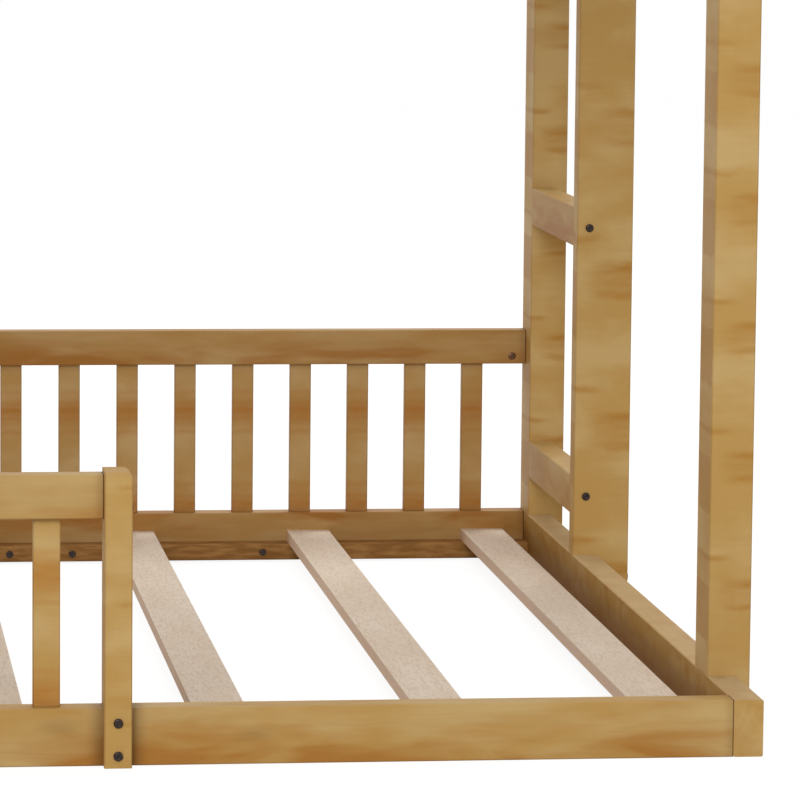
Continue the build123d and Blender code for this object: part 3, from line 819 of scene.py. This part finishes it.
@dataclass
class SlatDecks:
    """The slats of both decks and the ledgers that carry them."""

    slat_finish: BareWood = BareWood()
    ledger_finish: StainedPine = LEDGER_PINE

    def dress(self) -> None:
        """Leave the slats bare, with painted shade on their sides, and put on the ledgers a darker finish
        that is partly their own stain and partly painted shade.
        """
        for deck in DECKS:
            slats = Board(f"{deck}_slats", Grain.DEPTH, row=Row.LENGTH)
            paint(slats.node, self.slat_finish.material(slats))
            for side in SIDES:
                ledger = Board(f"{deck}_{side}_ledger", Grain.LENGTH)
                paint(ledger.node, self.ledger_finish.material(ledger))


@dataclass
class Guards:
    """The guard rails with their balusters and short posts."""

    baluster_width: float = 27 * MM
    rail_height: float = 44 * MM
    post_width: float = 27.5 * MM

    def dress(self) -> None:
        """Put the stain on every guard piece, with painted shade on the back ones, at the rails' ends and
        along the balusters' and posts' edges.
        """
        for deck in DECKS:
            for side, finish in zip(SIDES, (GUARD_PINE, PINE)):
                dress_boards(finish, [Board(
                    f"{deck}_{side}_guard_rail", Grain.LENGTH, width=self.rail_height, joint_and_shade=0.75)])
                self.dress_balusters(f"{deck}_{side}_balusters", Row.LENGTH)
            dress_boards(POST_PINE, [
                Board(post, Grain.HEIGHT, Figure.BANDS, width=self.post_width, band_pitch=118 * MM,
                      band_start=306 * MM) for post in GUARD_POSTS[deck]])
        for end in ENDS:
            dress_boards(GUARD_PINE, [
                Board(f"upper_{end}_guard_rail", Grain.DEPTH, width=self.rail_height)])
            self.dress_balusters(f"upper_{end}_balusters", Row.DEPTH)

    def dress_balusters(self, node: str, row: Row) -> None:
        """Put the stain on one row of balusters, with painted shade under the rail and along their edges.
        """
        dress_boards(BALUSTER_PINE, [
            Board(node, Grain.HEIGHT, Figure.BANDS, row, width=self.baluster_width,
                  band_pitch=120 * MM, band_start=215 * MM, joint_and_shade=0.35)])


@dataclass
class Ladder:
    """The stile and its rungs."""

    rung_count: int = 3
    stile_width: float = 68.3 * MM

    def dress(self) -> None:
        """Put the stain on the stile, with painted shade along its edges, and on the rungs."""
        dress_boards(PINE, [
            Board("ladder_stile", Grain.HEIGHT, Figure.BANDS, width=self.stile_width,
                  band_pitch=185 * MM, band_start=631 * MM)])
        dress_boards(RUNG_PINE, [
            Board(f"ladder_rung_{place + 1}", Grain.DEPTH) for place in range(self.rung_count)])


@dataclass
class Slide:
    """The slide: its sides, bed, battens, header, legs and stretcher."""

    slope: float = math.radians(42)
    cross_pieces: tuple[str, ...] = ("slide_battens", "slide_header", "slide_stretcher")

    def dress(self) -> None:
        """Put the stain on the slide's boards, with painted shade along the legs' edges, and the gloss on
        its bed.
        """
        boards = [Board(piece, Grain.LENGTH) for piece in self.cross_pieces]
        for end in ENDS:
            boards.append(Board(f"slide_side_{end}", Grain.SLOPE, slope=self.slope))
            boards.append(Board(f"slide_leg_{end}", Grain.HEIGHT, Figure.BANDS))
        dress_boards(PINE, boards)
        bed = Board("slide_bed", Grain.SLOPE, slope=self.slope)
        paint(bed.node, LacqueredPly().material(bed))


@dataclass(frozen=True)
class Pin:
    """Where one bolt, nut or screw of a node lies: its head's middle, its way in and its length."""

    head: Vector
    way: Vector
    length: float


def pins_of(node: str) -> list[Pin]:
    """Read each fastener's place from its plain solid.

    Args:
        node: the node of fasteners.

    Returns:
        The pins, each from its wider end to its narrower one.
    """
    pins = []
    for corners in solids_of(node):
        low = Vector([min(corner[axis] for corner in corners) for axis in range(3)])
        high = Vector([max(corner[axis] for corner in corners) for axis in range(3)])
        size = high - low
        axis = max(range(3), key=lambda number: size[number])
        middle = (low + high) / 2
        spread = {}
        for end in (low[axis], high[axis]):
            flat = [corner - middle for corner in corners if abs(corner[axis] - end) < TOUCH]
            for offset in flat:
                offset[axis] = 0
            spread[end] = max(offset.length for offset in flat)
        head_end = max(spread, key=lambda end: spread[end])
        head = middle.copy()
        head[axis] = head_end
        way = Vector((0, 0, 0))
        way[axis] = 1 if head_end == low[axis] else -1
        pins.append(Pin(head, way, size[axis]))
    return pins


def deselect() -> None:
    """Leave nothing selected."""
    bpy.ops.object.select_all(action="DESELECT")


def edit(piece: bpy.types.Object) -> None:
    """Open a piece for editing with nothing selected on it."""
    deselect()
    bpy.context.view_layer.objects.active = piece
    piece.select_set(True)
    bpy.ops.object.mode_set(mode="EDIT")
    bpy.ops.mesh.select_all(action="DESELECT")


def start_pick(kind: str) -> None:
    """Drop the last pick, then close the open piece so that its faces or edges can be marked."""
    bpy.ops.mesh.select_mode(type=kind)
    bpy.ops.mesh.select_all(action="DESELECT")
    bpy.ops.object.mode_set(mode="OBJECT")


def pick_faces(piece: bpy.types.Object, test: Callable[[Vector, Vector], bool]) -> None:
    """Select the faces of an open piece whose centre and normal pass a test."""
    start_pick("FACE")
    for polygon in piece.data.polygons:
        polygon.select = test(polygon.center, polygon.normal)
    bpy.ops.object.mode_set(mode="EDIT")


def pick_edges(piece: bpy.types.Object, test: Callable[[Vector], bool]) -> None:
    """Select the edges of an open piece both of whose ends pass a test."""
    start_pick("EDGE")
    vertices = piece.data.vertices
    for bar in piece.data.edges:
        bar.select = all(test(vertices[end].co) for end in bar.vertices)
    bpy.ops.object.mode_set(mode="EDIT")


def start_model(name: str, sides: int, radius: float, height: float, middle: float) -> bpy.types.Object:
    """Make a cylinder round the Z axis, with its middle at a given height, and open it for editing."""
    deselect()
    bpy.ops.mesh.primitive_cylinder_add(
        vertices=sides, radius=radius, depth=height, location=(0, 0, middle))
    piece = bpy.context.active_object
    piece.name = name
    edit(piece)
    return piece


def end_model() -> None:
    """Turn all faces of the open model outward, close it and smooth its gentle edges."""
    bpy.ops.mesh.select_all(action="SELECT")
    bpy.ops.mesh.normals_make_consistent(inside=False)
    bpy.ops.object.mode_set(mode="OBJECT")
    bpy.ops.object.transform_apply(location=True, rotation=True, scale=True)
    bpy.ops.object.shade_smooth_by_angle(angle=SMOOTH_ANGLE)


def copy_of(model: bpy.types.Object) -> bpy.types.Object:
    """Copy a model with a mesh of its own."""
    copy = model.copy()
    copy.data = model.data.copy()
    bpy.context.scene.collection.objects.link(copy)
    return copy


def stand(copy: bpy.types.Object, pin: Pin, place: Vector, key: str) -> None:
    """Turn a copy to its pin's way in, and about its own axis by its key, and move it to its place."""
    turn = Vector((0, 0, -1)).rotation_difference(pin.way).to_matrix().to_4x4()
    spin = Matrix.Rotation(SPIN_RANGE * seed_of(key), 4, "Z")
    copy.matrix_world = Matrix.Translation(place) @ turn @ spin
    deselect()
    copy.select_set(True)
    bpy.context.view_layer.objects.active = copy
    bpy.ops.object.transform_apply(location=True, rotation=True, scale=True)


class Drive(Enum):
    """The recess in a head, by its number of corners."""

    HEXAGON = 6
    SQUARE = 4


@dataclass
class Fastener:
    """A bolt or screw with a low round head, whose top lies at the origin and whose shank points down."""

    name: str
    head_radius: float
    head_height: float
    shank_radius: float
    drive: Drive
    drive_radius: float
    drive_depth: float
    rounding: float
    drive_dish: float = 0.15 * MM
    rim_share: float = 1.12
    sides: int = 24
    model_length: float = 30 * MM
    tip_chamfer: float = 0.6 * MM

    def build(self) -> bpy.types.Object:
        """Model the fastener with its shank of the model length.

        Returns:
            The piece.
        """
        top, bottom = self.head_height / 2, -self.head_height / 2
        piece = start_model(self.name, self.sides, self.head_radius, self.head_height, bottom)
        pick_edges(piece, lambda corner: corner.z > top - TOUCH)
        bpy.ops.mesh.bevel(offset=self.rounding, segments=3, affect="EDGES")
        self.cut_drive(piece, top)
        pick_faces(piece, lambda centre, normal: centre.z < bottom + TOUCH and normal.z < -SQUARE_ON)
        bpy.ops.mesh.inset(thickness=self.head_radius - self.shank_radius)
        shank = self.model_length - self.head_height
        bpy.ops.mesh.extrude_region_move(TRANSFORM_OT_translate={"value": (0, 0, -shank)})
        pick_edges(piece, lambda corner: corner.z < bottom - shank + TOUCH)
        bpy.ops.mesh.bevel(offset=self.tip_chamfer, segments=1, affect="EDGES")
        end_model()
        return piece

    def cut_drive(self, piece: bpy.types.Object, top: float) -> None:
        """Sink the drive's recess in the head.

        Args:
            piece: the piece, which is open for editing.
            top: the height of the head's top.
        """
        rim = self.drive_radius * self.rim_share
        floor = top - self.drive_dish
        pick_faces(piece, lambda centre, normal: centre.z > top - TOUCH and normal.z > SQUARE_ON)
        bpy.ops.mesh.inset(thickness=self.head_radius - self.rounding - rim)
        bpy.ops.mesh.delete(type="ONLY_FACE")
        bpy.ops.mesh.primitive_circle_add(
            vertices=self.drive.value, radius=self.drive_radius, location=(0, 0, -self.drive_dish))
        pick_edges(piece, lambda corner: corner.z > floor - 2 * TOUCH
                   and corner.xy.length < rim + 5 * TOUCH)
        bpy.ops.mesh.bridge_edge_loops()
        pick_edges(piece, lambda corner: abs(corner.z - floor) < 2 * TOUCH
                   and corner.xy.length < self.drive_radius + TOUCH)
        bpy.ops.mesh.extrude_region_move(TRANSFORM_OT_translate={"value": (0, 0, -self.drive_depth)})
        bpy.ops.mesh.edge_face_add()

    def place(self, model: bpy.types.Object, pin: Pin) -> bpy.types.Object:
        """Copy the model to one pin, with a shank of the pin's length."""
        copy = copy_of(model)
        edit(copy)
        bpy.ops.object.mode_set(mode="OBJECT")
        for vertex in copy.data.vertices:
            vertex.select = vertex.co.z < -self.model_length / 2
        bpy.ops.object.mode_set(mode="EDIT")
        bpy.ops.mesh.select_mode(type="VERT")
        bpy.ops.transform.translate(value=(0, 0, self.model_length - pin.length))
        bpy.ops.object.mode_set(mode="OBJECT")
        stand(copy, pin, pin.head, f"{pin.head.x:.3f} {pin.head.y:.3f} {pin.head.z:.3f}")
        return copy


@dataclass
class BarrelNut:
    """A cross nut with a blind slot in each end, which lies along the Z axis about the origin."""

    radius: float = 5 * MM
    length: float = 20 * MM
    slot_width: float = 1.6 * MM
    slot_inset: float = 0.225 * MM
    slot_depth: float = 1.5 * MM
    rounding: float = 0.5 * MM
    sides: int = 24

    def build(self) -> bpy.types.Object:
        """Model the nut.

        Returns:
            The piece.
        """
        piece = start_model("nut_model", self.sides, self.radius, self.length, 0.0)
        half = self.length / 2
        pick_edges(piece, lambda corner: abs(corner.z) > half - TOUCH)
        bpy.ops.mesh.bevel(offset=self.rounding, segments=2, affect="EDGES")
        for side in (-1, 1):
            pick_faces(piece, lambda centre, normal: abs(normal.z) > SQUARE_ON)
            bpy.ops.mesh.bisect(plane_co=(side * self.slot_width / 2, 0, 0), plane_no=(1, 0, 0))
        for side in (-1, 1):
            pick_faces(piece, lambda centre, normal: normal.z * side > SQUARE_ON
                       and abs(centre.x) < self.slot_width / 2)
            bpy.ops.mesh.inset(thickness=self.slot_inset)
            bpy.ops.mesh.extrude_region_move(
                TRANSFORM_OT_translate={"value": (0, 0, -side * self.slot_depth)})
        end_model()
        return piece

    def place(self, model: bpy.types.Object, pin: Pin) -> bpy.types.Object:
        """Copy the model to the middle of one pin."""
        copy = copy_of(model)
        stand(copy, pin, pin.head + pin.way * pin.length / 2, f"{pin.head.x:.3f} {pin.head.z:.3f}")
        return copy


@dataclass
class Fasteners:
    """All bolts, nuts and screws, each kind joined in one piece."""

    bronze: PlatedSteel = PlatedSteel("bronze_steel", tone(36, 22, 16), tone(92, 62, 44))
    brown: PlatedSteel = PlatedSteel("nut_steel", tone(104, 70, 42), tone(150, 112, 74))
    bolt: Fastener = field(default_factory=lambda: Fastener(
        "bolt_model", head_radius=4.9 * MM, head_height=2.5 * MM, shank_radius=3.0 * MM,
        drive=Drive.HEXAGON, drive_radius=2.2 * MM, drive_depth=2.0 * MM, rounding=1.5 * MM))
    screw: Fastener = field(default_factory=lambda: Fastener(
        "screw_model", head_radius=4.6 * MM, head_height=2.0 * MM, shank_radius=2.0 * MM,
        drive=Drive.SQUARE, drive_radius=2.0 * MM, drive_depth=1.5 * MM, rounding=1.2 * MM))
    nut: BarrelNut = field(default_factory=BarrelNut)

    def build(self) -> None:
        """Model each kind once, copy it to its pins and dress it."""
        self.fit("connector_bolts", self.bolt, self.bronze.material())
        screws = self.bronze.material()
        self.fit("ledger_screws", self.screw, screws)
        self.fit("slide_screws", self.screw, screws)
        self.fit("barrel_nuts", self.nut, self.brown.material())

    def fit(self, node: str, kind: Union[Fastener, BarrelNut], material: bpy.types.Material) -> None:
        """Put one kind of fastener in place of a node of plain ones.

        Args:
            node: the node that it stands for.
            kind: the fastener to model.
            material: its finish.
        """
        model = kind.build()
        copies = [kind.place(model, pin) for pin in pins_of(node)]
        bpy.data.objects.remove(model)
        deselect()
        for copy in copies:
            copy.select_set(True)
        bpy.context.view_layer.objects.active = copies[0]
        bpy.ops.object.join()
        piece = bpy.context.active_object
        piece.name = f"detailed_{node}"
        piece.data.materials.clear()
        piece.data.materials.append(material)
        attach(piece, BODY)
        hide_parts(node)
        log.info("built %s with %d copies", piece.name, len(copies))


@dataclass(frozen=True)
class Lamp:
    """One soft square lamp: its place, its side in metres and its power in watts."""

    name: str
    place: tuple[float, float, float]
    size: float
    power: float


@dataclass
class Studio:
    """The floor, the light and the camera."""

    camera_place: tuple[float, float, float] = (21.6 * MM, -4558.5 * MM, 894 * MM)
    camera_yaw: float = math.radians(7.274)
    camera_pitch: float = math.radians(-6.48)
    camera_roll: float = math.radians(0.558)
    lens: float = 212.32
    sensor_width: float = 36.0
    clip: tuple[float, float] = (0.1, 100.0)
    floor_reach: float = 14.0
    floor_drop: float = 0.5 * MM
    floor_lit: Colour = (0.75, 0.75, 0.75, 1.0)
    floor_shown: Colour = (0.18, 0.18, 0.18, 1.0)
    floor_glow: float = 0.9
    white: Colour = (1.0, 1.0, 1.0, 1.0)
    ambient: float = 0.52
    lamps: tuple[Lamp, ...] = (
        Lamp("key_lamp", (-1.3, -6.1, 4.0), 3.5, 254.0),
        Lamp("back_lamp", (1.5, 5.5, 6.0), 4.0, 210.0),
    )
    aim: tuple[float, float, float] = (0.3, 0.5, 0.6)

    def build(self) -> None:
        """Set up the studio."""
        bpy.context.scene.view_settings.view_transform = "Standard"
        self.make_floor()
        self.make_world()
        self.hang_lamps()
        self.make_camera()
        log.info("built the studio")

    @staticmethod
    def seen(graph: Graph) -> Value:
        """Give 1 to rays that come from the camera or from a gloss or glass."""
        rays = [graph.add("ShaderNodeLightPath", None, None, name)
                for name in ("Is Camera Ray", "Is Glossy Ray", "Is Transmission Ray")]
        return rays[0].larger(rays[1]).larger(rays[2])

    def make_floor(self) -> None:
        """Lay a pale floor that shows white and keeps the shadow."""
        deselect()
        bpy.ops.mesh.primitive_plane_add(size=2 * self.floor_reach, location=(0, 0, -self.floor_drop))
        floor = bpy.context.active_object
        floor.name = "floor"
        material, graph = make_material("floor")
        lit = graph.add("ShaderNodeBsdfDiffuse", None, {"Color": self.floor_lit})
        shown = graph.add("ShaderNodeBsdfDiffuse", None, {"Color": self.floor_shown})
        glow = graph.add("ShaderNodeEmission", None, {"Color": self.white, "Strength": self.floor_glow})
        pale = graph.add("ShaderNodeAddShader", None, {0: shown, 1: glow})
        mixed = graph.add("ShaderNodeMixShader", None, {0: self.seen(graph), 1: lit, 2: pale})
        graph.add("ShaderNodeOutputMaterial", None, {"Surface": mixed})
        floor.data.materials.append(material)

    def make_world(self) -> None:
        """Light the room evenly and show it white."""
        world = bpy.data.worlds.new("studio")
        bpy.context.scene.world = world
        world.use_nodes = True
        graph = Graph(world.node_tree)
        light = graph.add("ShaderNodeBackground", None, {"Color": self.white, "Strength": self.ambient})
        white = graph.add("ShaderNodeBackground", None, {"Color": self.white, "Strength": 1.0})
        mixed = graph.add("ShaderNodeMixShader", None, {0: self.seen(graph), 1: light, 2: white})
        graph.add("ShaderNodeOutputWorld", None, {"Surface": mixed})

    def hang_lamps(self) -> None:
        """Hang the lamps and aim them at the part of the bed that the picture shows."""
        for lamp in self.lamps:
            bpy.ops.object.light_add(type="AREA", location=lamp.place)
            light = bpy.context.active_object
            light.name = lamp.name
            light.data.energy = lamp.power
            light.data.size = lamp.size
            way = Vector(self.aim) - Vector(lamp.place)
            light.rotation_euler = way.to_track_quat("-Z", "Y").to_euler()

    def make_camera(self) -> None:
        """Stand the camera where the picture was taken from."""
        bpy.ops.object.camera_add(location=self.camera_place)
        camera = bpy.context.active_object
        camera.name = "camera"
        camera.data.sensor_width = self.sensor_width
        camera.data.lens = self.lens
        camera.data.clip_start, camera.data.clip_end = self.clip
        yaw, pitch = self.camera_yaw, self.camera_pitch
        ahead = Vector((math.sin(yaw) * math.cos(pitch), math.cos(yaw) * math.cos(pitch), math.sin(pitch)))
        level = Vector((math.cos(yaw), -math.sin(yaw), 0))
        upright = level.cross(ahead)
        side = level * math.cos(self.camera_roll) + upright * math.sin(self.camera_roll)
        up = upright * math.cos(self.camera_roll) - level * math.sin(self.camera_roll)
        turn = Matrix((side, up, -ahead)).transposed().to_4x4()
        camera.matrix_world = Matrix.Translation(Vector(self.camera_place)) @ turn
        bpy.context.scene.camera = camera


def main() -> None:
    """Build the bed's looks, piece by piece."""
    logging.basicConfig(level=logging.INFO, format="%(message)s")
    Studio().build()
    BedFrame().dress()
    SlatDecks().dress()
    Guards().dress()
    Ladder().dress()
    Slide().dress()
    Fasteners().build()


if __name__ == "__main__":
    main()
